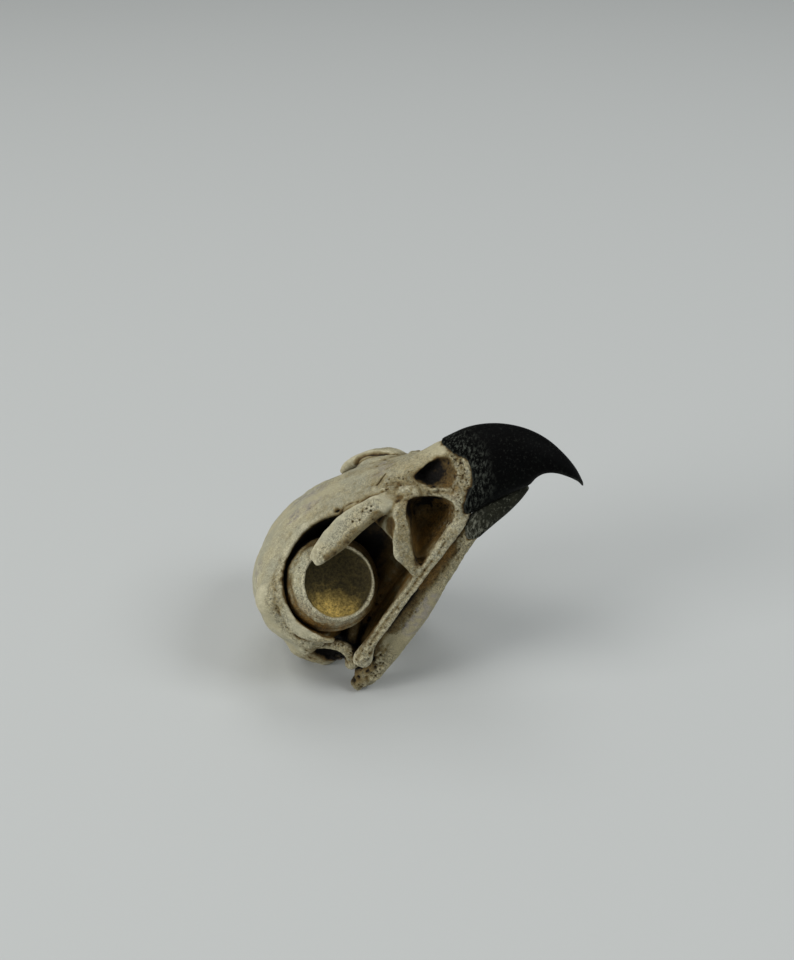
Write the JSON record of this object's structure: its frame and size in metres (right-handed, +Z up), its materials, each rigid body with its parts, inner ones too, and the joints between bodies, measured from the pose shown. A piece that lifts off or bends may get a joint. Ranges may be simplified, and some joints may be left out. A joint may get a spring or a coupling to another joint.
{
  "type": "bird of prey skull",
  "caption": "Life-size eagle skull with black horn bill sheaths, eye rings and closed lower jaw, lying tipped back with the bill raised.",
  "frame": {"origin": "on the table under the middle of the model's bounding box", "axes": "+X forward along the table on the bill's side, +Y to the bird's left, +Z up from the table; the skull is tipped back by 56 degrees as it lies"},
  "size_m": [0.1034, 0.0642, 0.0881],
  "materials": {
    "pale_bone": "aged pale bone, matte",
    "grey_bone": "porous grey bone, matte",
    "ring_bone": "stained bone, matte",
    "black_horn": "black horn, satin"
  },
  "bodies": {
    "root": {"braincase": "pale_bone", "skull_roof": "pale_bone", "orbital_septum": "pale_bone", "bill_base": "pale_bone", "upper_bill_sheath": "black_horn", "lower_bill_sheath": "black_horn", "lower_jaw_right": "grey_bone", "lower_jaw_left": "grey_bone", "brow_right": "pale_bone", "brow_left": "pale_bone", "pillar_right": "grey_bone", "pillar_left": "grey_bone", "cheek_bar_right": "grey_bone", "cheek_bar_left": "grey_bone", "palate_right": "pale_bone", "palate_left": "pale_bone", "quadrate_right": "grey_bone", "quadrate_left": "grey_bone", "eye_ring_right": "ring_bone", "eye_ring_left": "ring_bone"}
  },
  "joints": []
}
